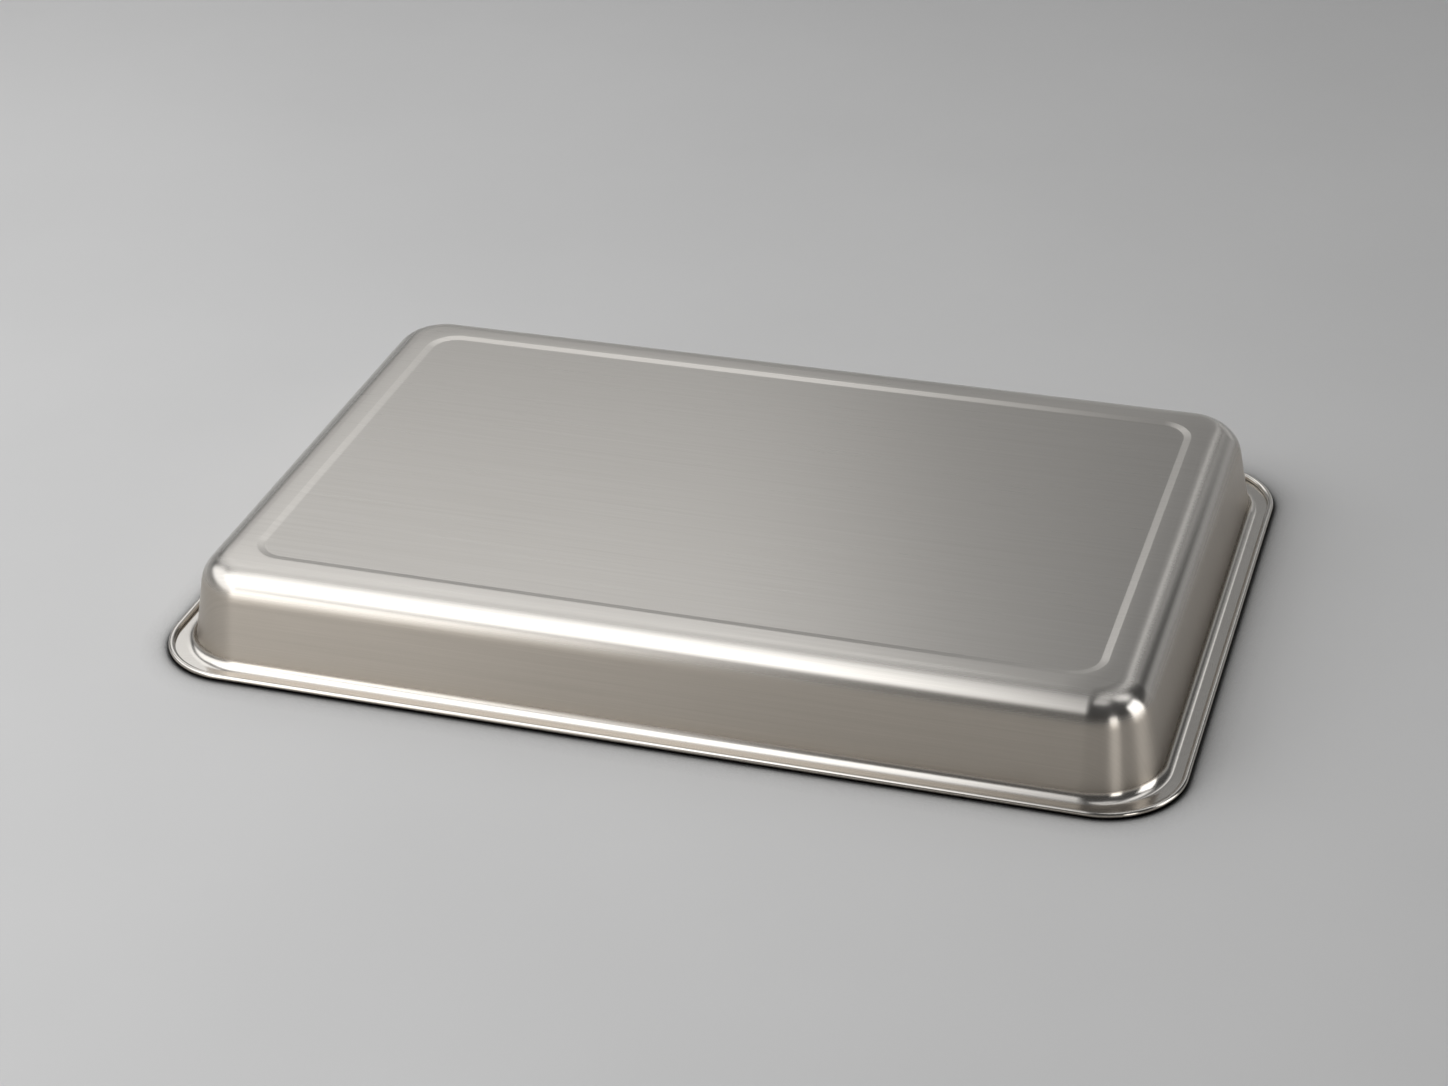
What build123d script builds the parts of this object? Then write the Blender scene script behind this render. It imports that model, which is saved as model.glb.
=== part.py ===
from build123d import *
from math import asin, atan2, cos, degrees, radians, tan
import os

os.makedirs("parts", exist_ok=True)

# A cookie sheet with drawn corners, upside down on its rim, in millimetres.
# +X runs along the pan and +Z is up. The origin is under the middle of the pan,
# on the plane that the rim lies on, so the base of the pan faces up.
# An inset is the distance inwards from the rim's outermost edge.

# Overall size: 16 by 10.5 by 1.5 inches
pan_length = 406.4
pan_width = 266.7
pan_height = 38.1

# The sheet, and the wire that its edge is rolled round, both pressed slightly oval
sheet_thickness = 0.5
wire_width = 1.5
wire_height = 1.4
wire_clearance = 0.05
wire_joint_gap = 0.8
rolled_edge_gap = 0.1
rim_corner_radius = 32.0

# The wall: where its outer face would meet the rim plane, and how far it leans inwards
wall_inset = 9.2
wall_draft = 10.5
foot_radius = 4.5

# The flat base, its rounded edge and the radius of its corners in plan
base_edge_radius = 13.3
base_corner_radius = 9.5

# The panel pressed back from the base, and the slope round it
panel_inset = 33.7
panel_corner_radius = 13.5
panel_depth = 0.55
panel_slope_run = 3.0
panel_blend_radius = 2.0

# The rolled edge is a tube of sheet round the wire, with its free edge just above the flange
bore_half_width = wire_width / 2 + wire_clearance
bore_half_height = wire_height / 2 + wire_clearance
roll_half_width = bore_half_width + sheet_thickness
roll_half_height = bore_half_height + sheet_thickness
roll_centre = (roll_half_width, roll_half_height)
roll_end_drop = roll_half_height - sheet_thickness - rolled_edge_gap
roll_turn = 270 + degrees(asin(roll_end_drop / roll_half_height))

# Where the skin's straight lines would meet, and how far each bend's tangents reach from there
wall_lean = tan(radians(wall_draft))
foot_corner_inset = wall_inset + sheet_thickness * wall_lean
base_corner_inset = wall_inset + pan_height * wall_lean
half_turn = radians(90 - wall_draft) / 2
foot_start = foot_corner_inset - foot_radius * tan(half_turn)
base_start = base_corner_inset + base_edge_radius * tan(half_turn)
slope_angle = atan2(panel_depth, panel_slope_run)
blend_reach = panel_blend_radius * tan(slope_angle / 2)
panel_start = panel_inset - blend_reach
panel_end = panel_inset + panel_slope_run + blend_reach
panel_height = pan_height - panel_depth

# Each family of concentric corners turns round one upright axis, this far in from both edges
rim_reach = rim_corner_radius
wall_reach = base_start + base_corner_radius
panel_reach = panel_inset + panel_corner_radius

# Bent strips run on flat for one gauge at each end, to meet the flat plates
flange_end = foot_start - sheet_thickness
base_begin = base_start + sheet_thickness
slope_begin = panel_start - sheet_thickness
slope_end = panel_end + sheet_thickness


def plan_outline(reach):
    """The pan's outermost outline, with corners that turn round the axes at this reach."""
    x = pan_length / 2
    y = pan_width / 2
    with BuildLine() as outline:
        FilletPolyline((-x, -y), (x, -y), (x, y), (-x, y), radius=reach, close=True)
    return outline.wire()


def section_plane(outline):
    """The upright plane across the outline's start, with inset as x and height as y."""
    inwards = Vector(0, 0, 1).cross(outline % 0)
    return Plane(origin=outline @ 0, x_dir=inwards, z_dir=outline % 0)


def flat_outline(inset, reach, mode=Mode.ADD):
    """A rounded rectangle at this inset, concentric with the corners of this reach."""
    RectangleRounded(pan_length - 2 * inset, pan_width - 2 * inset, reach - inset, mode=mode)


rim_outline = plan_outline(rim_reach)
wall_outline = plan_outline(wall_reach)
panel_outline = plan_outline(panel_reach)

# The pan: one pressed sheet, from the rolled edge to the panel in the middle of the base
with BuildPart() as pan_sheet:
    # The flange, flat on the rim plane
    with BuildSketch():
        flat_outline(roll_half_width, rim_reach)
        flat_outline(flange_end, wall_reach, mode=Mode.SUBTRACT)
    extrude(amount=sheet_thickness)

    # The edge, rolled up and over the wire until it points back at the flange
    with BuildSketch(section_plane(rim_outline)):
        with BuildLine():
            outside = EllipticalCenterArc(
                roll_centre, roll_half_width, roll_half_height, 270, arc_size=-roll_turn
            )
            inside = EllipticalCenterArc(
                roll_centre, bore_half_width, bore_half_height, 270, arc_size=-roll_turn
            )
            Line(outside @ 0, inside @ 0)
            Line(outside @ 1, inside @ 1)
        make_face()
    sweep(path=rim_outline)

    # The wall, with its foot on the flange and the rounded edge of the base above it
    with BuildSketch(section_plane(wall_outline)):
        with BuildLine():
            skin = FilletPolyline(
                (flange_end, sheet_thickness),
                (foot_corner_inset, sheet_thickness),
                (base_corner_inset, pan_height),
                (base_begin, pan_height),
                radius=(foot_radius, base_edge_radius),
            )
            offset(skin, amount=sheet_thickness, side=Side.RIGHT)
        make_face()
    sweep(path=wall_outline)

    # The flat ring that the pan stands on when it is in use
    with BuildSketch(Plane.XY.offset(pan_height)):
        flat_outline(base_begin, wall_reach)
        flat_outline(slope_begin, panel_reach, mode=Mode.SUBTRACT)
    extrude(amount=-sheet_thickness)

    # The shallow slope from the ring down to the panel
    with BuildSketch(section_plane(panel_outline)):
        with BuildLine():
            slope = FilletPolyline(
                (slope_begin, pan_height),
                (panel_inset, pan_height),
                (panel_inset + panel_slope_run, panel_height),
                (slope_end, panel_height),
                radius=panel_blend_radius,
            )
            offset(slope, amount=sheet_thickness, side=Side.RIGHT)
        make_face()
    sweep(path=panel_outline)

    # The panel
    with BuildSketch(Plane.XY.offset(panel_height)):
        flat_outline(slope_end, panel_reach)
    extrude(amount=-sheet_thickness)

pan_sheet.part.label = "pan_sheet"
export_step(pan_sheet.part, "parts/pan_sheet.step")

# The wire: one length bent to the rim's outline, its ends butted on the middle of a long side
with BuildPart() as rim_wire:
    with BuildSketch(section_plane(rim_outline)):
        with Locations(roll_centre):
            Ellipse(wire_width / 2, wire_height / 2)
    sweep(path=rim_outline)
    with Locations((0, pan_width / 2 - roll_half_width, roll_half_height)):
        Box(wire_joint_gap, wire_width * 2, wire_height * 2, mode=Mode.SUBTRACT)

rim_wire.part.label = "rim_wire"
export_step(rim_wire.part, "parts/rim_wire.step")
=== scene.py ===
from math import asin, atan2, cos, pi, radians, sin, tan

import bpy
from bpy.props import FloatProperty, FloatVectorProperty, IntProperty, PointerProperty
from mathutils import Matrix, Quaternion, Vector


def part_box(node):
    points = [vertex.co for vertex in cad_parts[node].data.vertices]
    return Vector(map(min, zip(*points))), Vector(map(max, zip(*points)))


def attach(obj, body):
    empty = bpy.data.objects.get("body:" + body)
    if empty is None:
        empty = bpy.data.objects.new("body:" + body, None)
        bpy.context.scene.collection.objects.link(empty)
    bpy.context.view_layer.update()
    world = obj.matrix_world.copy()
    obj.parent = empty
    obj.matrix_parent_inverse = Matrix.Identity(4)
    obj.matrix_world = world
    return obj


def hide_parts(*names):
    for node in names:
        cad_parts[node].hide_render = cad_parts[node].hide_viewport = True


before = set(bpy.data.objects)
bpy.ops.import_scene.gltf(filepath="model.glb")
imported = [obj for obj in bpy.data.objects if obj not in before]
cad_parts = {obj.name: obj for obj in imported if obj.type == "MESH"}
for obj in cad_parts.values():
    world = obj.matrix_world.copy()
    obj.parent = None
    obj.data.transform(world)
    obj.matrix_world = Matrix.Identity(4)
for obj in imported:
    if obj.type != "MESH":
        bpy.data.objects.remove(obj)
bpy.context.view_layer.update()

bl_info = {
    "name": "Cookie Sheet",
    "version": (1, 0, 0),
    "blender": (4, 5, 0),
    "location": "3D View > Sidebar > Cookie Sheet",
    "description": "Presses a stainless cookie sheet with a wired rim and sets it in a small studio",
    "category": "Mesh",
}

PAN_LOW, PAN_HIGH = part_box("pan_sheet")


class SheetSizes(bpy.types.PropertyGroup):
    """The pressed sheet, upside down. Insets are measured inwards from the rim's outermost edge."""

    length: FloatProperty(
        name="Length",
        description="Overall length",
        default=PAN_HIGH.x - PAN_LOW.x,
        unit="LENGTH",
    )
    width: FloatProperty(
        name="Width",
        description="Overall width",
        default=PAN_HIGH.y - PAN_LOW.y,
        unit="LENGTH",
    )
    height: FloatProperty(
        name="Height",
        description="Overall height",
        default=PAN_HIGH.z - PAN_LOW.z,
        unit="LENGTH",
    )
    gauge: FloatProperty(
        name="Gauge",
        description="Thickness of the sheet",
        default=0.0005,
        unit="LENGTH",
    )
    roll_width: FloatProperty(
        name="Roll width",
        description="Width of the rolled edge",
        default=0.0026,
        unit="LENGTH",
    )
    roll_height: FloatProperty(
        name="Roll height",
        description="Height of the rolled edge",
        default=0.0025,
        unit="LENGTH",
    )
    roll_gap: FloatProperty(
        name="Roll gap",
        description="Gap from the roll's free edge to the flange",
        default=0.0001,
        unit="LENGTH",
    )
    rim_corner: FloatProperty(
        name="Rim corner",
        description="Plan radius of the rim's corners",
        default=0.032,
        unit="LENGTH",
    )
    wall_inset: FloatProperty(
        name="Wall inset",
        description="Where the wall would meet the rim plane",
        default=0.0092,
        unit="LENGTH",
    )
    wall_draft: FloatProperty(
        name="Wall draft",
        description="How far the wall leans inwards",
        default=radians(10.5),
        subtype="ANGLE",
    )
    foot_radius: FloatProperty(
        name="Foot radius",
        description="Bend between flange and wall",
        default=0.0045,
        unit="LENGTH",
    )
    edge_radius: FloatProperty(
        name="Base edge radius",
        description="Bend between wall and base",
        default=0.0133,
        unit="LENGTH",
    )
    base_corner: FloatProperty(
        name="Base corner",
        description="Plan radius of the flat base's corners",
        default=0.0095,
        unit="LENGTH",
    )
    panel_inset: FloatProperty(
        name="Panel inset",
        description="Where the slope to the panel begins",
        default=0.0337,
        unit="LENGTH",
    )
    panel_corner: FloatProperty(
        name="Panel corner",
        description="Plan radius of the corners where the slope to the panel begins",
        default=0.0135,
        unit="LENGTH",
    )
    panel_depth: FloatProperty(
        name="Panel depth",
        description="How far the panel is pressed back from the base",
        default=0.00055,
        unit="LENGTH",
    )
    slope_run: FloatProperty(
        name="Slope run",
        description="Plan width of the slope round the panel",
        default=0.003,
        unit="LENGTH",
    )
    blend_radius: FloatProperty(
        name="Blend radius",
        description="Bends at both ends of the slope",
        default=0.002,
        unit="LENGTH",
    )
    corner_steps: IntProperty(
        name="Corner steps",
        description="Faces round each corner",
        default=32,
        min=4,
    )
    bend_steps: IntProperty(
        name="Bend steps",
        description="Faces over each bend of the section",
        default=10,
        min=2,
    )
    roll_steps: IntProperty(
        name="Roll steps",
        description="Faces round the rolled edge",
        default=28,
        min=8,
    )


class SheetFinish(bpy.types.PropertyGroup):
    """Brushed stainless steel, a little polished on its bends and its rim, with painted sheen on the rim
    and painted shade on the panel and the walls.
    """

    light: FloatVectorProperty(
        name="Light tone",
        description="Colour of the bright grain",
        default=(0.568, 0.548, 0.519),
        subtype="COLOR",
    )
    dark: FloatVectorProperty(
        name="Dark tone",
        description="Colour of the dull grain",
        default=(0.509, 0.489, 0.460),
        subtype="COLOR",
    )
    # Painted shade: the drawn walls' colour is multiplied by this darker, warmer tint, for the dim, warm
    # surroundings that they mirror
    drawn: FloatVectorProperty(
        name="Drawn tone",
        description="Tint of the drawn walls",
        default=(0.87, 0.82, 0.76),
        subtype="COLOR",
    )
    # Painted shade: the panel's colour is darkened to this share of the ring's, for the dimmer light that
    # the panel mirrors
    panel: FloatProperty(
        name="Panel tone",
        description="Brightness of the panel, as a share of the ring's",
        default=0.90,
        subtype="FACTOR",
    )
    # Painted sheen: the rim's colour is brightened by this much; its real polish is the lower rim roughness
    rim: FloatProperty(
        name="Rim tone",
        description="How much brighter the polished rim is than the rest",
        default=1.08,
        min=0.0,
    )
    brushed_rough: FloatProperty(
        name="Brushed roughness",
        description="Roughness on the flats",
        default=0.30,
        subtype="FACTOR",
    )
    rough_spread: FloatProperty(
        name="Roughness spread",
        description="How much rougher the dull grain is, and how much smoother the bright grain",
        default=0.03,
        subtype="FACTOR",
    )
    bend_rough: FloatProperty(
        name="Bend roughness",
        description="Roughness on the polished bends",
        default=0.18,
        subtype="FACTOR",
    )
    wall_rough: FloatProperty(
        name="Wall roughness",
        description="Roughness on the drawn walls",
        default=0.33,
        subtype="FACTOR",
    )
    rim_rough: FloatProperty(
        name="Rim roughness",
        description="Roughness on the polished rim",
        default=0.18,
        subtype="FACTOR",
    )
    anisotropy: FloatProperty(
        name="Anisotropy",
        description="How far highlights spread across the grain",
        default=0.82,
        subtype="FACTOR",
    )
    grain: FloatProperty(
        name="Grain depth",
        description="Depth of the brush marks",
        default=0.0000015,
        unit="LENGTH",
    )
    crown: FloatProperty(
        name="Crown",
        description="How far the ring round the panel falls away towards the base edge",
        default=0.0005,
        unit="LENGTH",
    )
    crown_run: FloatProperty(
        name="Crown run",
        description="Plan width over which the ring and the base edge fall away",
        default=0.014,
        unit="LENGTH",
    )
    sway: FloatProperty(
        name="Sway",
        description="How far the flats are out of true",
        default=0.00012,
        unit="LENGTH",
    )


class WireFinish(bpy.types.PropertyGroup):
    """Plain drawn steel wire."""

    colour: FloatVectorProperty(
        name="Colour",
        description="Colour of the wire",
        default=(0.42, 0.41, 0.40),
        subtype="COLOR",
    )
    dulled: FloatProperty(
        name="Dull tone",
        description="Brightness of the dull patches, as a share of the colour",
        default=0.8,
        subtype="FACTOR",
    )
    roughness: FloatProperty(
        name="Roughness",
        description="Roughness of the drawn wire",
        default=0.38,
        subtype="FACTOR",
    )
    line_depth: FloatProperty(
        name="Line depth",
        description="Depth of the drawing lines",
        default=0.000004,
        unit="LENGTH",
    )


class Studio(bpy.types.PropertyGroup):
    """The floor, the room and the camera."""

    floor: FloatVectorProperty(
        name="Floor",
        description="Colour of the floor",
        default=(0.68, 0.68, 0.68),
        subtype="COLOR",
    )
    floor_dulled: FloatProperty(
        name="Floor unevenness",
        description="Brightness of the floor's duller patches, as a share of its colour",
        default=0.97,
        subtype="FACTOR",
    )
    floor_rough: FloatProperty(
        name="Floor roughness",
        description="Roughness of the floor",
        default=0.75,
        subtype="FACTOR",
    )
    floor_radius: FloatProperty(
        name="Floor radius",
        description="How far the floor reaches",
        default=6.0,
        unit="LENGTH",
    )
    floor_drop: FloatProperty(
        name="Floor drop",
        description="Gap from the pan to the floor",
        default=0.00003,
        unit="LENGTH",
    )
    # Painted contact shadow: near the pan the floor's colour is darkened towards black, this far out and
    # this strongly, as shade under the rim
    painted_contact_shadow: FloatProperty(
        name="Contact",
        description="How near to the pan the floor darkens",
        default=0.012,
        unit="LENGTH",
    )
    painted_shadow_power: FloatProperty(
        name="Contact power",
        description="How strongly the floor darkens near the pan",
        default=7.0,
        min=0.0,
    )
    surround: FloatProperty(
        name="Surround",
        description="Brightness of the room",
        default=0.08,
        min=0.0,
    )
    backdrop: FloatProperty(
        name="Backdrop",
        description="Brightness of the backdrop that the floor passes into",
        default=0.45,
        min=0.0,
    )
    fade_start: FloatProperty(
        name="Fade start",
        description="Where the floor begins to pass into the backdrop",
        default=0.66,
        unit="LENGTH",
    )
    fade_end: FloatProperty(
        name="Fade end",
        description="Where the floor has become the backdrop",
        default=1.35,
        unit="LENGTH",
    )
    lens: FloatProperty(
        name="Lens",
        description="Focal length of the camera",
        default=74.72,
        unit="CAMERA",
    )
    azimuth: FloatProperty(
        name="Azimuth",
        description="How far the camera stands to the right",
        default=radians(18.25),
        subtype="ANGLE",
    )
    elevation: FloatProperty(
        name="Elevation",
        description="How high the camera stands",
        default=radians(30.55),
        subtype="ANGLE",
    )
    roll: FloatProperty(
        name="Roll",
        description="Turn of the camera about its own axis",
        default=radians(-1.69),
        subtype="ANGLE",
    )
    distance: FloatProperty(
        name="Distance",
        description="From the camera to the point that it looks at",
        default=1.2481,
        unit="LENGTH",
    )
    target: FloatVectorProperty(
        name="Target",
        description="The point that the camera looks at",
        default=(-0.0114, 0.01816, 0.0),
        subtype="TRANSLATION",
    )


# The sheet

GRAIN_MAP = "sheet_grain"

# The square that becomes a section's first vertex, and how near vertices and heights count as the same
START_SQUARE = 0.001
MERGE_REACH = 0.000001
HEIGHT_REACH = 0.00001

# The axes of the section's bends and of the pan's corners, turned round because spin goes clockwise
BEND_AXIS = (-1, 0, 0)
CORNER_AXIS = (0, 0, -1)


def deselect_objects():
    """Leaves nothing selected, so that the next operator acts on the new piece alone."""
    if bpy.context.mode != "OBJECT":
        bpy.ops.object.mode_set(mode="OBJECT")
    bpy.ops.object.select_all(action="DESELECT")


def start_section(name, start):
    """A new mesh object in edit mode, with one vertex at the section's start."""
    deselect_objects()
    bpy.ops.mesh.primitive_plane_add(size=START_SQUARE)
    piece = bpy.context.active_object
    piece.name = piece.data.name = name
    bpy.ops.object.mode_set(mode="EDIT")
    bpy.ops.mesh.merge(type="CENTER")
    bpy.ops.transform.translate(value=start)
    return piece


def draw_line(start, end):
    """Runs the section on in a straight line."""
    bpy.ops.mesh.extrude_region_move(TRANSFORM_OT_translate={"value": end - start})


def draw_bend(centre, turn, steps):
    """Runs the section on round a bend, anticlockwise as inset runs right and height up."""
    bpy.ops.mesh.spin(steps=steps, angle=turn, center=centre, axis=BEND_AXIS)


def sweep_section(sizes, reach):
    """Carries the section round the pan, whose corners turn about the axes this far in from both edges."""
    x = sizes.length / 2 - reach
    y = sizes.width / 2 - reach
    bpy.ops.mesh.select_all(action="SELECT")
    for run, corner in (
        ((2 * x, 0, 0), (x, -y, 0)),
        ((0, 2 * y, 0), (x, y, 0)),
        ((-2 * x, 0, 0), (-x, y, 0)),
        ((0, -2 * y, 0), (-x, -y, 0)),
    ):
        bpy.ops.mesh.extrude_region_move(TRANSFORM_OT_translate={"value": run})
        bpy.ops.mesh.spin(steps=sizes.corner_steps, angle=pi / 2, center=corner, axis=CORNER_AXIS)
    bpy.ops.mesh.select_all(action="SELECT")
    bpy.ops.mesh.remove_doubles(threshold=MERGE_REACH)
    bpy.ops.object.mode_set(mode="OBJECT")


class Section:
    """Places on the under skin, in the upright plane where the front side meets its left corner."""

    def __init__(self, sizes, reach):
        self.x = reach - sizes.length / 2
        self.front = -sizes.width / 2

    def at(self, inset, height):
        """The point at this inset and height."""
        return Vector((self.x, self.front + inset, height))

    def round(self, centre, radius, angle):
        """The point at this angle on a bend, anticlockwise from the inwards direction."""
        inset, height = centre
        return self.at(inset + radius * cos(angle), height + radius * sin(angle))


def sheet_form(sizes):
    """The section's derived sizes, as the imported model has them."""
    lean = tan(sizes.wall_draft)
    half_turn = (pi / 2 - sizes.wall_draft) / 2
    foot_start = sizes.wall_inset + sizes.gauge * lean - sizes.foot_radius * tan(half_turn)
    base_start = sizes.wall_inset + sizes.height * lean + sizes.edge_radius * tan(half_turn)
    slope = atan2(sizes.panel_depth, sizes.slope_run)
    blend_reach = sizes.blend_radius * tan(slope / 2)
    return {
        "foot_start": foot_start,
        "base_start": base_start,
        "wall_reach": base_start + sizes.base_corner,
        "slope": slope,
        "panel_start": sizes.panel_inset - blend_reach,
        "panel_end": sizes.panel_inset + sizes.slope_run + blend_reach,
        "panel_reach": sizes.panel_inset + sizes.panel_corner,
        "panel_height": sizes.height - sizes.panel_depth,
    }


def roll_edge(sizes):
    """The rolled edge, from its free edge over the wire and down to the flange."""
    section = Section(sizes, sizes.rim_corner)
    half_width = sizes.roll_width / 2
    half_height = sizes.roll_height / 2
    centre = (half_width, half_height)
    end_angle = asin((half_height - sizes.gauge - sizes.roll_gap) / half_height)
    piece = start_section("sheet", section.round(centre, half_height, -end_angle))
    draw_bend(section.at(*centre), 3 * pi / 2 + end_angle, sizes.roll_steps)
    draw_line(section.at(half_width, 0), section.at(sizes.roll_width, 0))
    bpy.ops.mesh.select_all(action="SELECT")
    bpy.ops.transform.resize(value=(1, half_width / half_height, 1), center_override=section.at(*centre))
    sweep_section(sizes, sizes.rim_corner)
    return piece


def draw_wall(sizes, form):
    """The foot of the wall, the wall itself and the rounded edge of the base."""
    section = Section(sizes, form["wall_reach"])
    turn = pi / 2 - sizes.wall_draft
    foot_centre = (form["foot_start"], sizes.gauge + sizes.foot_radius)
    foot_radius = sizes.foot_radius + sizes.gauge
    edge_centre = (form["base_start"], sizes.height - sizes.edge_radius)
    edge_radius = sizes.edge_radius - sizes.gauge
    under = sizes.height - sizes.gauge
    start = section.at(form["foot_start"] - sizes.gauge, 0)
    piece = start_section("sheet_wall", start)
    draw_line(start, section.at(form["foot_start"], 0))
    draw_bend(section.at(*foot_centre), turn, sizes.bend_steps)
    draw_line(
        section.round(foot_centre, foot_radius, -sizes.wall_draft),
        section.round(edge_centre, edge_radius, pi - sizes.wall_draft),
    )
    draw_bend(section.at(*edge_centre), -turn, sizes.bend_steps)
    draw_line(section.at(form["base_start"], under), section.at(form["base_start"] + sizes.gauge, under))
    sweep_section(sizes, form["wall_reach"])
    return piece


def draw_panel(sizes, form):
    """The slope from the base's ring down to the panel."""
    section = Section(sizes, form["panel_reach"])
    steps = max(2, sizes.bend_steps // 3)
    top_centre = (form["panel_start"], sizes.height - sizes.blend_radius)
    top_radius = sizes.blend_radius - sizes.gauge
    low_centre = (form["panel_end"], form["panel_height"] + sizes.blend_radius)
    low_radius = sizes.blend_radius + sizes.gauge
    under = sizes.height - sizes.gauge
    under_panel = form["panel_height"] - sizes.gauge
    start = section.at(form["panel_start"] - sizes.gauge, under)
    piece = start_section("sheet_panel", start)
    draw_line(start, section.at(form["panel_start"], under))
    draw_bend(section.at(*top_centre), -form["slope"], steps)
    draw_line(
        section.round(top_centre, top_radius, pi / 2 - form["slope"]),
        section.round(low_centre, low_radius, 3 * pi / 2 - form["slope"]),
    )
    draw_bend(section.at(*low_centre), form["slope"], steps)
    draw_line(
        section.at(form["panel_end"], under_panel),
        section.at(form["panel_end"] + sizes.gauge, under_panel),
    )
    sweep_section(sizes, form["panel_reach"])
    return piece


def select_open_edges(piece, height):
    """Selects the open edges that lie at this height, and nothing else."""
    bpy.ops.object.mode_set(mode="EDIT")
    bpy.ops.mesh.select_mode(type="EDGE")
    bpy.ops.mesh.select_all(action="DESELECT")
    bpy.ops.mesh.select_non_manifold(extend=False, use_wire=False, use_boundary=True, use_multi_face=False)
    bpy.ops.object.mode_set(mode="OBJECT")
    mesh = piece.data
    for edge in mesh.edges:
        heights = [mesh.vertices[end].co.z for end in edge.vertices]
        edge.select = edge.select and all(abs(z - height) < HEIGHT_REACH for z in heights)
    for vertex in mesh.vertices:
        vertex.select = False
    for edge in mesh.edges:
        if edge.select:
            for end in edge.vertices:
                mesh.vertices[end].select = True
    bpy.ops.object.mode_set(mode="EDIT")


def lay_grain_map(piece, sizes, form):
    """Maps the sheet as if it were flat again, so that the grain runs along the pan and over every bend."""
    core = Vector((sizes.length / 2 - form["wall_reach"], sizes.width / 2 - form["wall_reach"]))
    # How much longer the wall is than its plan, for its height
    rise = (1 - sin(sizes.wall_draft)) / cos(sizes.wall_draft)
    mesh = piece.data
    flat = []
    for vertex in mesh.vertices:
        place = vertex.co.xy
        held = Vector((min(max(place.x, -core.x), core.x), min(max(place.y, -core.y), core.y)))
        outwards = (place - held).normalized()
        flat.append(place + outwards * rise * (sizes.height - vertex.co.z))
    layer = mesh.uv_layers.new(name=GRAIN_MAP)
    for loop in mesh.loops:
        layer.data[loop.index].uv = flat[loop.vertex_index]


def join_strips(strips, sizes, form):
    """The sheet's under skin: the strips bridged on the flange and the ring, and closed by the panel."""
    deselect_objects()
    for strip in strips:
        strip.select_set(True)
    piece = strips[0]
    bpy.context.view_layer.objects.active = piece
    bpy.ops.object.join()
    for height in (0, sizes.height - sizes.gauge):
        select_open_edges(piece, height)
        bpy.ops.mesh.bridge_edge_loops()
    select_open_edges(piece, form["panel_height"] - sizes.gauge)
    bpy.ops.mesh.edge_face_add()
    bpy.ops.mesh.select_all(action="SELECT")
    bpy.ops.mesh.normals_make_consistent(inside=False)
    bpy.ops.object.mode_set(mode="OBJECT")
    return piece


def face_inwards(piece):
    """Turns the skin's faces to the inside of the pan, where they don't face it already."""
    panel = max(piece.data.polygons, key=lambda face: face.area)
    if panel.normal.z > 0:
        bpy.ops.object.mode_set(mode="EDIT")
        bpy.ops.mesh.select_all(action="SELECT")
        bpy.ops.mesh.flip_normals()
        bpy.ops.object.mode_set(mode="OBJECT")


def give_gauge(piece, sizes):
    """Thickens the skin outwards, and shades it smooth with its flats left flat."""
    gauge = piece.modifiers.new("gauge", "SOLIDIFY")
    gauge.thickness = sizes.gauge
    gauge.offset = -1
    gauge.use_even_offset = True
    bpy.ops.object.modifier_apply(modifier=gauge.name)
    bpy.ops.object.shade_smooth()
    flats = piece.modifiers.new("flats", "WEIGHTED_NORMAL")
    flats.mode = "FACE_AREA"
    bpy.ops.object.modifier_apply(modifier=flats.name)


def press_sheet(sizes):
    """The whole sheet, from its rolled edge to its panel, with the map that its grain follows."""
    form = sheet_form(sizes)
    strips = [roll_edge(sizes), draw_wall(sizes, form), draw_panel(sizes, form)]
    piece = join_strips(strips, sizes, form)
    face_inwards(piece)
    give_gauge(piece, sizes)
    lay_grain_map(piece, sizes, form)
    return piece


# Building blocks of the finishes

RISING = (0.0, 1.0)
FALLING = (1.0, 0.0)
UPWARDS = (0, 0, 1)
BLACK = (0, 0, 0, 1)
WHITE = (1, 1, 1, 1)

# The middle of a noise's values, over which a finish passes from its dull state to its bright one
NOISE_MIDDLE = (0.35, 0.65)


def new_material(name):
    """A material with nothing in its node tree but its shader and its output."""
    material = bpy.data.materials.new(name)
    material.use_nodes = True
    return material, material.node_tree, material.node_tree.nodes["Principled BSDF"]


def set_inputs(tree, node, inputs):
    """Links the inputs whose value comes from another node, and sets the plain ones."""
    for name, value in inputs.items():
        if isinstance(value, bpy.types.NodeSocket):
            tree.links.new(value, node.inputs[name])
        else:
            node.inputs[name].default_value = value


def add_node(tree, kind, inputs=None, **settings):
    """A node of this kind, with its settings made and its inputs set or linked."""
    node = tree.nodes.new(kind)
    for name, value in settings.items():
        setattr(node, name, value)
    set_inputs(tree, node, inputs or {})
    return node


def soft_noise(tree, place, scale, detail):
    """Noise with this many waves to the metre."""
    inputs = {"Vector": place, "Scale": scale, "Detail": detail}
    return add_node(tree, "ShaderNodeTexNoise", inputs).outputs["Fac"]


def map_range(tree, value, span, target, interpolation="LINEAR"):
    """The value carried from one span to another, and held inside it."""
    low, high = span
    to_low, to_high = target
    inputs = {"Value": value, "From Min": low, "From Max": high, "To Min": to_low, "To Max": to_high}
    return add_node(tree, "ShaderNodeMapRange", inputs, interpolation_type=interpolation).outputs["Result"]


def calculate(tree, operation, first, second=0.0):
    """One step of sums."""
    return add_node(tree, "ShaderNodeMath", {0: first, 1: second}, operation=operation).outputs["Value"]


def mix_numbers(tree, factor, first, second):
    """The first value where the factor is nothing, the second where it is one."""
    return add_node(tree, "ShaderNodeMix", {"Factor": factor, "A": first, "B": second}).outputs["Result"]


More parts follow.
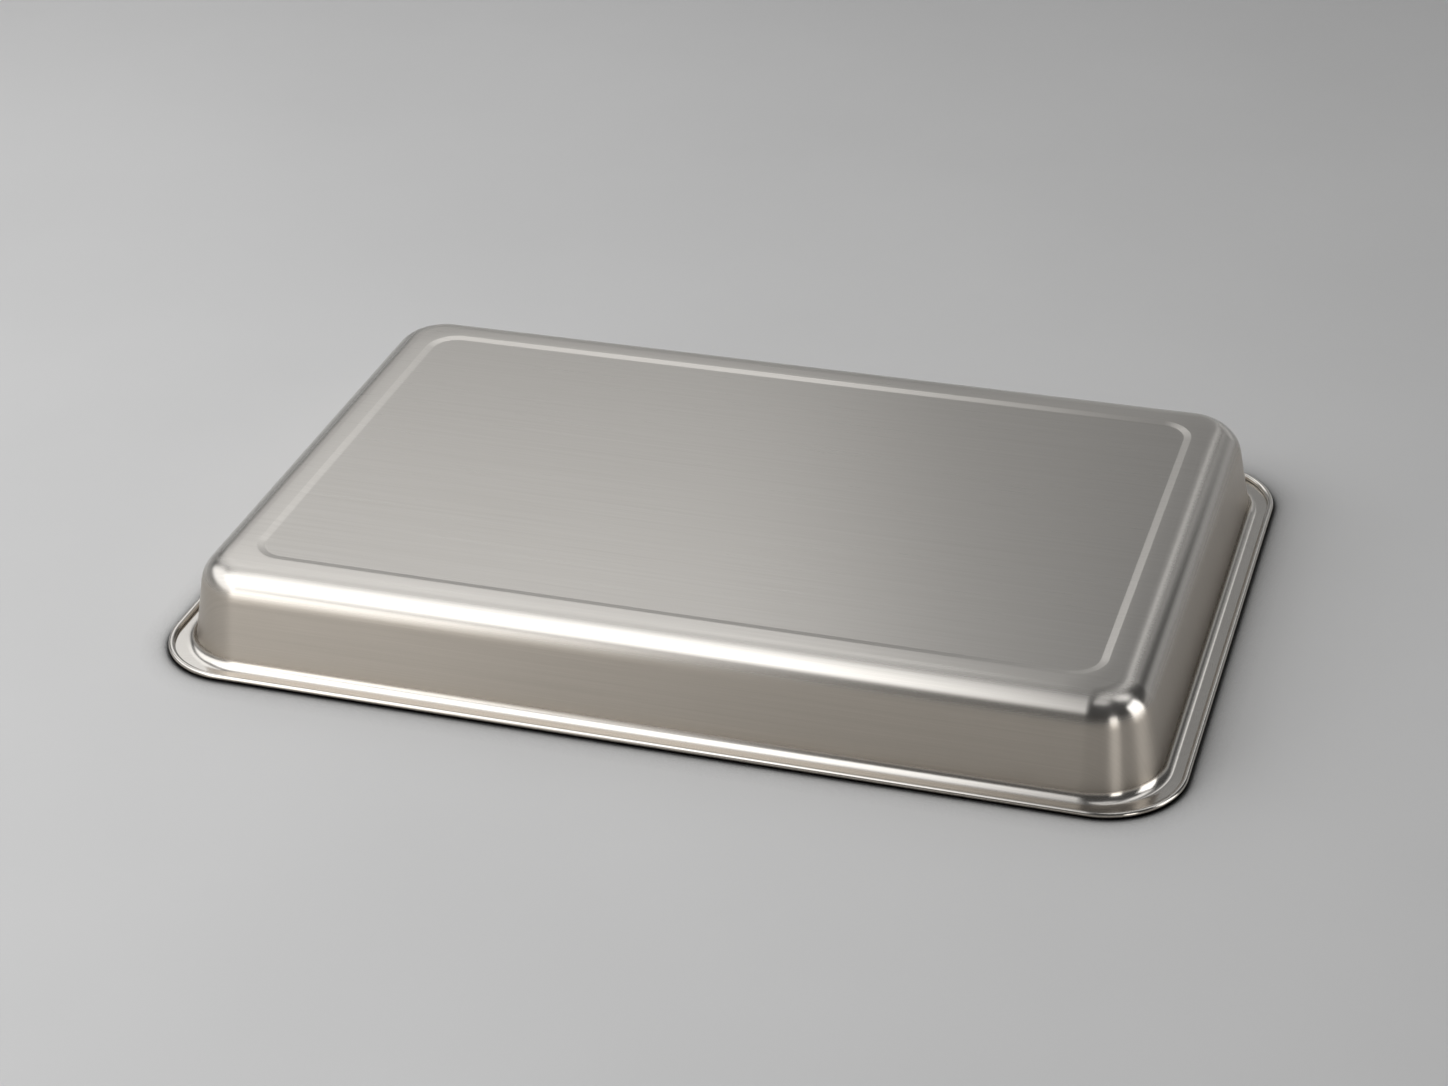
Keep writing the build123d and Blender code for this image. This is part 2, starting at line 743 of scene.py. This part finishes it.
def mix_colours(tree, factor, first, second, blend_type="MIX"):
    """The first colour where the factor is nothing, the second laid over it where it is one."""
    inputs = {0: factor, 6: first, 7: second}
    return add_node(tree, "ShaderNodeMix", inputs, data_type="RGBA", blend_type=blend_type).outputs[2]


def mix_vectors(tree, factor, first, second):
    """The first vector where the factor is nothing, the second where it is one."""
    return add_node(tree, "ShaderNodeMix", {0: factor, 4: first, 5: second}, data_type="VECTOR").outputs[1]


def two_tones(tree, noise, dark, light):
    """A colour between two, as the noise goes from low to high."""
    ramp = add_node(tree, "ShaderNodeValToRGB", {"Fac": noise})
    low, high = ramp.color_ramp.elements
    low.position, high.position = NOISE_MIDDLE
    low.color, high.color = (*dark, 1), (*light, 1)
    return ramp.outputs["Color"]


def darken(colour, share):
    """The colour at this share of its brightness."""
    return [channel * share for channel in colour]


def calculate_vector(tree, operation, *vectors):
    """One step of sums on one vector or two."""
    inputs = dict(enumerate(vectors))
    return add_node(tree, "ShaderNodeVectorMath", inputs, operation=operation).outputs["Vector"]


def length_of(tree, vector):
    """The vector's length."""
    return add_node(tree, "ShaderNodeVectorMath", {0: vector}, operation="LENGTH").outputs["Value"]


def part_of(tree, vector, axis):
    """The vector's part along one axis."""
    return add_node(tree, "ShaderNodeSeparateXYZ", {"Vector": vector}).outputs[axis]


def raise_surface(tree, height, depth, below=None):
    """Relief of this depth in metres, on top of what lies below it."""
    inputs = {"Height": height, "Distance": depth, "Strength": 1.0}
    if below is not None:
        inputs["Normal"] = below
    return add_node(tree, "ShaderNodeBump", inputs).outputs["Normal"]


# The finish of the sheet

# Brush marks: how many to the metre across the grain and along it, and the detail of their noise
FINE_MARKS = (3200.0, 16.0, 2.0)
BROAD_MARKS = (600.0, 5.0, 3.0)
MARK_ROUGHNESS = 0.6

# Soft noise: waves to the metre and detail
BLOTCHES = (16.0, 3.0)
SWAY = (9.0, 1.0)

# The broad marks' share of the lines, and the blotches' share of the tone
BROAD_SHARE = 0.45
BLOTCH_SHARE = 0.12

# Where the finish changes, by how squarely a place faces up or down: 1 on the flats, little on the walls
BEND_BEGINS = (0.25, 0.6)
BEND_ENDS = (0.8, 0.985)
# The walls' painted shade, a darker and warmer tint, comes in over this span
WALL_SHADE_SPAN = (0.3, 0.7)
WALL_ROUGHENS = (0.2, 0.6)
GRAIN_TURNS = (0.9, 0.99)

# Heights over which the rim's polish and painted sheen end, and how far the panel's painted shade fades to
# each side of its edge
RIM_ENDS = (0.0025, 0.005)
PANEL_SHADE_FADE = 0.001

# How far highlights are turned, as a share of a full turn, so that they spread across the grain
GRAIN_TURN = 0.25


def brush_marks(tree, flat, across, along, detail):
    """Lines along the grain: noise that changes quickly across the grain and slowly along it."""
    stretched = add_node(tree, "ShaderNodeMapping", {"Vector": flat, "Scale": (along, across, along)})
    inputs = {
        "Vector": stretched.outputs["Vector"],
        "Scale": 1.0,
        "Detail": detail,
        "Roughness": MARK_ROUGHNESS,
    }
    return add_node(tree, "ShaderNodeTexNoise", inputs).outputs["Fac"]


def way_outwards(tree, place, sizes, reach):
    """How far and which way a place lies beyond the axes that the corners of this reach turn about."""
    core = Vector((sizes.length / 2 - reach, sizes.width / 2 - reach, sizes.height))
    raised = calculate_vector(tree, "MAXIMUM", place, -core)
    held = calculate_vector(tree, "MINIMUM", raised, core)
    return calculate_vector(tree, "SUBTRACT", place, held)


def sheet_tone(tree, finish, sizes, marks, facing, rim, from_panel):
    """The colour of the grain, darker on the panel as painted shade, darker and warmer on the drawn walls
    as painted shade, and brighter on the rim as painted sheen.
    """
    tones = two_tones(tree, marks, finish.dark, finish.light)
    # Painted shade on the walls: a darker, warmer tint
    wall = map_range(tree, facing, WALL_SHADE_SPAN, FALLING)
    tones_with_wall_shade = mix_colours(tree, wall, tones, (*finish.drawn, 1), "MULTIPLY")
    # Painted shade on the panel: its colour darkened against the ring's
    panel_edge = sizes.panel_corner - sizes.slope_run
    panel_span = (panel_edge - PANEL_SHADE_FADE, panel_edge + PANEL_SHADE_FADE)
    dulled = map_range(tree, from_panel, panel_span, (finish.panel, 1.0))
    # Painted sheen on the rim: its colour brightened
    brightness = calculate(tree, "MULTIPLY", dulled, mix_numbers(tree, rim, 1.0, finish.rim))
    return mix_colours(tree, 1.0, tones_with_wall_shade, brightness, "MULTIPLY")


def sheet_roughness(tree, finish, marks, facing, rim):
    """Brushed on the flats, rougher on the walls, and polished on the bends and the rim."""
    spread = (finish.brushed_rough + finish.rough_spread, finish.brushed_rough - finish.rough_spread)
    brushed = map_range(tree, marks, NOISE_MIDDLE, spread)
    above_wall = map_range(tree, facing, BEND_BEGINS, RISING)
    below_flat = map_range(tree, facing, BEND_ENDS, FALLING)
    bend = calculate(tree, "MULTIPLY", above_wall, below_flat)
    polished = mix_numbers(tree, bend, brushed, finish.bend_rough)
    wall = map_range(tree, facing, WALL_ROUGHENS, FALLING)
    walled = mix_numbers(tree, wall, polished, finish.wall_rough)
    return mix_numbers(tree, rim, walled, finish.rim_rough)


def sheet_relief(tree, finish, sizes, place, lines, from_panel):
    """The ring's fall towards the base edge, flats a little out of true, and the brush marks."""
    crown_span = (sizes.panel_corner, sizes.panel_corner + finish.crown_run)
    crown = map_range(tree, from_panel, crown_span, FALLING, "SMOOTHSTEP")
    crowned = raise_surface(tree, crown, finish.crown)
    swayed = raise_surface(tree, soft_noise(tree, place, *SWAY), finish.sway, crowned)
    return raise_surface(tree, lines, finish.grain, swayed)


def grain_direction(tree, facing, outwards):
    """Along the grain on the flats, and round the pan on the bends and the walls."""
    along = add_node(tree, "ShaderNodeTangent", direction_type="UV_MAP", uv_map=GRAIN_MAP)
    straight_out = calculate_vector(tree, "NORMALIZE", outwards)
    round_pan = calculate_vector(tree, "CROSS_PRODUCT", UPWARDS, straight_out)
    turned = map_range(tree, facing, GRAIN_TURNS, FALLING)
    return mix_vectors(tree, turned, along.outputs["Tangent"], round_pan)


def brushed_stainless(finish, sizes):
    """Stainless sheet with grain along the pan, soft blotches and a polish on its bends, inside and out,
    with painted shade on its panel and walls and painted sheen on its rim.
    """
    material, tree, shader = new_material("brushed_stainless")
    form = sheet_form(sizes)
    coordinates = add_node(tree, "ShaderNodeTexCoord").outputs
    place = coordinates["Object"]
    flat = add_node(tree, "ShaderNodeUVMap", uv_map=GRAIN_MAP).outputs["UV"]
    fine = brush_marks(tree, flat, *FINE_MARKS)
    broad = brush_marks(tree, flat, *BROAD_MARKS)
    lines = mix_numbers(tree, BROAD_SHARE, fine, broad)
    marks = mix_numbers(tree, BLOTCH_SHARE, lines, soft_noise(tree, place, *BLOTCHES))
    facing = calculate(tree, "ABSOLUTE", part_of(tree, coordinates["Normal"], "Z"))
    rim = map_range(tree, part_of(tree, place, "Z"), RIM_ENDS, FALLING)
    from_panel = length_of(tree, way_outwards(tree, place, sizes, form["panel_reach"]))
    outwards = way_outwards(tree, place, sizes, form["wall_reach"])
    set_inputs(tree, shader, {
        "Base Color": sheet_tone(tree, finish, sizes, marks, facing, rim, from_panel),
        "Roughness": sheet_roughness(tree, finish, marks, facing, rim),
        "Normal": sheet_relief(tree, finish, sizes, place, lines, from_panel),
        "Tangent": grain_direction(tree, facing, outwards),
        "Metallic": 1.0,
        "Anisotropic": finish.anisotropy,
        "Anisotropic Rotation": GRAIN_TURN,
    })
    return material


# The finish of the wire

# Drawing lines and dull patches: waves to the metre and detail, and the patches' share
WIRE_LINES = (900.0, 2.0)
WIRE_PATCHES = (60.0, 3.0)
WIRE_PATCH_SHARE = 0.5

# How much rougher the wire is where it is dull, and how much smoother where it is bright
WIRE_ROUGHER = 0.08
WIRE_SMOOTHER = 0.05


def drawn_wire(finish):
    """Steel wire with faint drawing lines, duller and brighter by turns."""
    material, tree, shader = new_material("drawn_wire")
    place = add_node(tree, "ShaderNodeTexCoord").outputs["Object"]
    lines = soft_noise(tree, place, *WIRE_LINES)
    marks = mix_numbers(tree, WIRE_PATCH_SHARE, lines, soft_noise(tree, place, *WIRE_PATCHES))
    spread = (finish.roughness + WIRE_ROUGHER, finish.roughness - WIRE_SMOOTHER)
    set_inputs(tree, shader, {
        "Base Color": two_tones(tree, marks, darken(finish.colour, finish.dulled), finish.colour),
        "Roughness": map_range(tree, marks, NOISE_MIDDLE, spread),
        "Normal": raise_surface(tree, lines, finish.line_depth),
        "Metallic": 1.0,
    })
    return material


# The floor and the room

# Unevenness of the floor: waves to the metre and detail
FLOOR_PATCHES = (5.0, 4.0)

# The sides of the round floor, and how many rays look for the pan near each place on it, for its painted
# contact shadow
FLOOR_SIDES = 96
PAINTED_SHADOW_SAMPLES = 4

# Over how much of the way up the room the backdrop ends, from 0 at the floor to 1 straight up
BACKDROP_ENDS = (0.14, 0.28)


def seen_by_the_eye(tree):
    """One for what is seen straight, in metal or through glass, and nothing for what lights the pan."""
    path = add_node(tree, "ShaderNodeLightPath").outputs
    indirect = calculate(tree, "MAXIMUM", path["Is Glossy Ray"], path["Is Transmission Ray"])
    return calculate(tree, "MAXIMUM", path["Is Camera Ray"], indirect)


def pale_floor(studio):
    """A matt, pale grey board with the faintest unevenness and a painted contact shadow near the pan, which
    passes into the backdrop far off.
    """
    material, tree, shader = new_material("pale_floor")
    place = add_node(tree, "ShaderNodeTexCoord").outputs["Object"]
    patches = soft_noise(tree, place, *FLOOR_PATCHES)
    board = two_tones(tree, patches, darken(studio.floor, studio.floor_dulled), studio.floor)
    # Painted contact shadow: the floor's colour goes towards black near the pan, and to black where the
    # floor becomes the glowing backdrop
    nearby = {"Distance": studio.painted_contact_shadow}
    openness = add_node(tree, "ShaderNodeAmbientOcclusion", nearby, samples=PAINTED_SHADOW_SAMPLES)
    painted_contact_shadow = calculate(tree, "POWER", openness.outputs["AO"], studio.painted_shadow_power)
    fade_span = (studio.fade_start, studio.fade_end)
    far = map_range(tree, length_of(tree, place), fade_span, RISING, "SMOOTHSTEP")
    faded = calculate(tree, "MULTIPLY", far, seen_by_the_eye(tree))
    bare = calculate(tree, "MULTIPLY", painted_contact_shadow, calculate(tree, "SUBTRACT", 1.0, faded))
    set_inputs(tree, shader, {
        "Base Color": mix_colours(tree, bare, BLACK, board),
        "Emission Color": WHITE,
        "Emission Strength": calculate(tree, "MULTIPLY", faded, studio.backdrop),
        "Roughness": studio.floor_rough,
        "Specular IOR Level": 0.0,
    })
    return material


def lay_floor(studio):
    """A wide floor just under the pan, so that the two never share a surface."""
    deselect_objects()
    bpy.ops.mesh.primitive_circle_add(
        vertices=FLOOR_SIDES,
        radius=studio.floor_radius,
        fill_type="NGON",
        location=(0, 0, -studio.floor_drop),
    )
    floor = bpy.context.active_object
    floor.name = floor.data.name = "floor"
    floor.data.materials.append(pale_floor(studio))


def fill_room(studio):
    """A plain dim room round the pan, with a pale backdrop low down behind the floor."""
    world = bpy.data.worlds.new("room")
    bpy.context.scene.world = world
    world.use_nodes = True
    tree = world.node_tree
    tree.nodes.clear()
    direction = add_node(tree, "ShaderNodeTexCoord").outputs["Generated"]
    low_down = map_range(tree, part_of(tree, direction, "Z"), BACKDROP_ENDS, FALLING)
    pale = calculate(tree, "MULTIPLY", low_down, seen_by_the_eye(tree))
    strength = mix_numbers(tree, pale, studio.surround, studio.backdrop)
    light = add_node(tree, "ShaderNodeBackground", {"Color": WHITE, "Strength": strength})
    add_node(tree, "ShaderNodeOutputWorld", {"Surface": light.outputs["Background"]})


# The lamps: name, place, the point it faces, size, brightness, and the softness of its edges

LAMPS = (
    ("top_lamp", (-0.74, -0.675, 1.30), (-0.74, -0.675, 0.00), (1.85, 2.25), 2.45, (0.65, 0.65)),
    ("middle_lamp", (0.20, -0.18, 1.30), (0.20, -0.18, 0.00), (1.20, 0.62), 0.9, (0.6, 0.7)),
    ("left_lamp", (-1.35, -0.45, 0.95), (-0.17, -0.10, 0.95), (2.60, 1.20), 1.75, (0.4, 0.4)),
    ("back_left_lamp", (-1.10, 1.25, 1.64), (-1.10, 0.00, 1.64), (2.20, 2.20), 1.6, (0.45, 0.6)),
    ("back_right_lamp", (0.35, 1.50, 1.05), (0.35, 0.00, 1.05), (1.30, 2.10), 0.25, (0.3, 0.3)),
    ("back_strip", (0.52, 1.40, 1.40), (0.52, 0.00, 1.40), (0.40, 1.80), 1.1, (0.8, 0.6)),
    ("upper_right_lamp", (0.90, 0.32, 1.27), (0.19, -0.12, 0.03), (0.70, 0.85), 1.5, (0.8, 0.8)),
)

# The cards: bright boards laid out in the same way, which show in the metal and don't light the floor

CARDS = (
    ("front_left_card", (-0.95, -1.70, 0.74), (-0.95, 0.00, 0.74), (1.35, 1.15), 2.8, (1.0, 0.4)),
    ("corner_card", (0.38, 0.08, 1.30), (0.38, 0.08, 0.00), (0.95, 1.30), 1.3, (0.9, 0.9)),
    ("right_card", (1.36, 0.11, 0.51), (0.18, -0.10, 0.51), (0.74, 1.00), 2.4, (0.3, 0.1)),
    ("front_right_card", (1.20, -1.05, 0.36), (0.18, -0.10, 0.36), (0.45, 0.70), 2.8, (0.4, 0.1)),
)


def soften_edges(lamp, softness):
    """Fades the lamp towards its edges, over these shares of its half width and its half height."""
    lamp.data.use_nodes = True
    tree = lamp.data.node_tree
    spot = add_node(tree, "ShaderNodeNewGeometry").outputs["Parametric"]
    middle = 0.5
    fades = []
    for side, share in zip("XY", softness):
        from_edge = calculate(tree, "PINGPONG", part_of(tree, spot, side), middle)
        fades.append(map_range(tree, from_edge, (0.0, middle * share), RISING, "SMOOTHSTEP"))
    set_inputs(tree, tree.nodes["Emission"], {"Strength": calculate(tree, "MULTIPLY", *fades)})


def hang_lamp(name, place, aim, size, brightness, softness, lights_floor=True):
    """A soft rectangular lamp at a place, turned to face a point."""
    deselect_objects()
    width, height = size
    turn = (Vector(aim) - Vector(place)).to_track_quat("-Z", "Y").to_euler()
    bpy.ops.object.light_add(type="AREA", location=place, rotation=turn)
    lamp = bpy.context.active_object
    lamp.name = lamp.data.name = name
    lamp.data.shape = "RECTANGLE"
    lamp.data.size = width
    lamp.data.size_y = height
    lamp.data.energy = brightness * pi * width * height
    lamp.visible_camera = False
    lamp.visible_diffuse = lights_floor
    soften_edges(lamp, softness)


# The camera: its sensor in millimetres, and what it sees between in metres

SENSOR_WIDTH = 36
NEAREST = 0.05
FARTHEST = 50


def place_camera(studio):
    """The camera, where the photograph was taken from."""
    deselect_objects()
    aside, up = studio.azimuth, studio.elevation
    back = Vector((sin(aside) * cos(up), -cos(aside) * cos(up), sin(up)))
    bpy.ops.object.camera_add(location=Vector(studio.target) + back * studio.distance)
    camera = bpy.context.active_object
    camera.name = camera.data.name = "camera"
    camera.rotation_mode = "QUATERNION"
    camera.rotation_quaternion = (-back).to_track_quat("-Z", "Y") @ Quaternion((0, 0, 1), studio.roll)
    camera.data.sensor_width = SENSOR_WIDTH
    camera.data.lens = studio.lens
    camera.data.clip_start = NEAREST
    camera.data.clip_end = FARTHEST
    bpy.context.scene.camera = camera


# The operators and their panel


class PressSheet(bpy.types.Operator):
    """Presses the pan from one sheet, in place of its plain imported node"""

    bl_idname = "cookie_sheet.press_sheet"
    bl_label = "Press the sheet"

    def execute(self, context):
        sizes = context.scene.sheet_sizes
        sheet = press_sheet(sizes)
        sheet.data.materials.append(brushed_stainless(context.scene.sheet_finish, sizes))
        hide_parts("pan_sheet")
        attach(sheet, "root")
        return {"FINISHED"}


class DressWire(bpy.types.Operator):
    """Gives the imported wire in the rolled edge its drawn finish"""

    bl_idname = "cookie_sheet.dress_wire"
    bl_label = "Dress the wire"

    def execute(self, context):
        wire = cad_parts["rim_wire"]
        wire.data.materials.clear()
        wire.data.materials.append(drawn_wire(context.scene.wire_finish))
        return {"FINISHED"}


class SetStage(bpy.types.Operator):
    """Lays the floor, hangs the lamps and places the camera"""

    bl_idname = "cookie_sheet.set_stage"
    bl_label = "Set the stage"

    def execute(self, context):
        studio = context.scene.studio
        lay_floor(studio)
        for lamp in LAMPS:
            hang_lamp(*lamp)
        for card in CARDS:
            hang_lamp(*card, lights_floor=False)
        fill_room(studio)
        context.scene.view_settings.view_transform = "Standard"
        place_camera(studio)
        return {"FINISHED"}


class CookieSheetPanel(bpy.types.Panel):
    """The cookie sheet's tools, in the order in which they are used"""

    bl_idname = "VIEW3D_PT_cookie_sheet"
    bl_label = "Cookie Sheet"
    bl_space_type = "VIEW_3D"
    bl_region_type = "UI"
    bl_category = "Cookie Sheet"

    def draw(self, context):
        for tool in TOOLS:
            self.layout.operator(tool.bl_idname)
        for group, settings in SETTINGS.items():
            box = self.layout.box()
            values = getattr(context.scene, group)
            for name in settings.__annotations__:
                box.prop(values, name)


TOOLS = (PressSheet, DressWire, SetStage)
SETTINGS = {
    "sheet_sizes": SheetSizes,
    "sheet_finish": SheetFinish,
    "wire_finish": WireFinish,
    "studio": Studio,
}


def register():
    """Makes the settings, the tools and the panel known to Blender."""
    for group, settings in SETTINGS.items():
        bpy.utils.register_class(settings)
        setattr(bpy.types.Scene, group, PointerProperty(type=settings))
    for tool in TOOLS:
        bpy.utils.register_class(tool)
    bpy.utils.register_class(CookieSheetPanel)


def unregister():
    """Takes the panel, the tools and the settings away again."""
    bpy.utils.unregister_class(CookieSheetPanel)
    for tool in reversed(TOOLS):
        bpy.utils.unregister_class(tool)
    for group, settings in SETTINGS.items():
        delattr(bpy.types.Scene, group)
        bpy.utils.unregister_class(settings)


def main():
    """Makes the whole scene, tool by tool."""
    register()
    bpy.ops.cookie_sheet.press_sheet()
    bpy.ops.cookie_sheet.dress_wire()
    bpy.ops.cookie_sheet.set_stage()


if __name__ == "__main__":
    main()
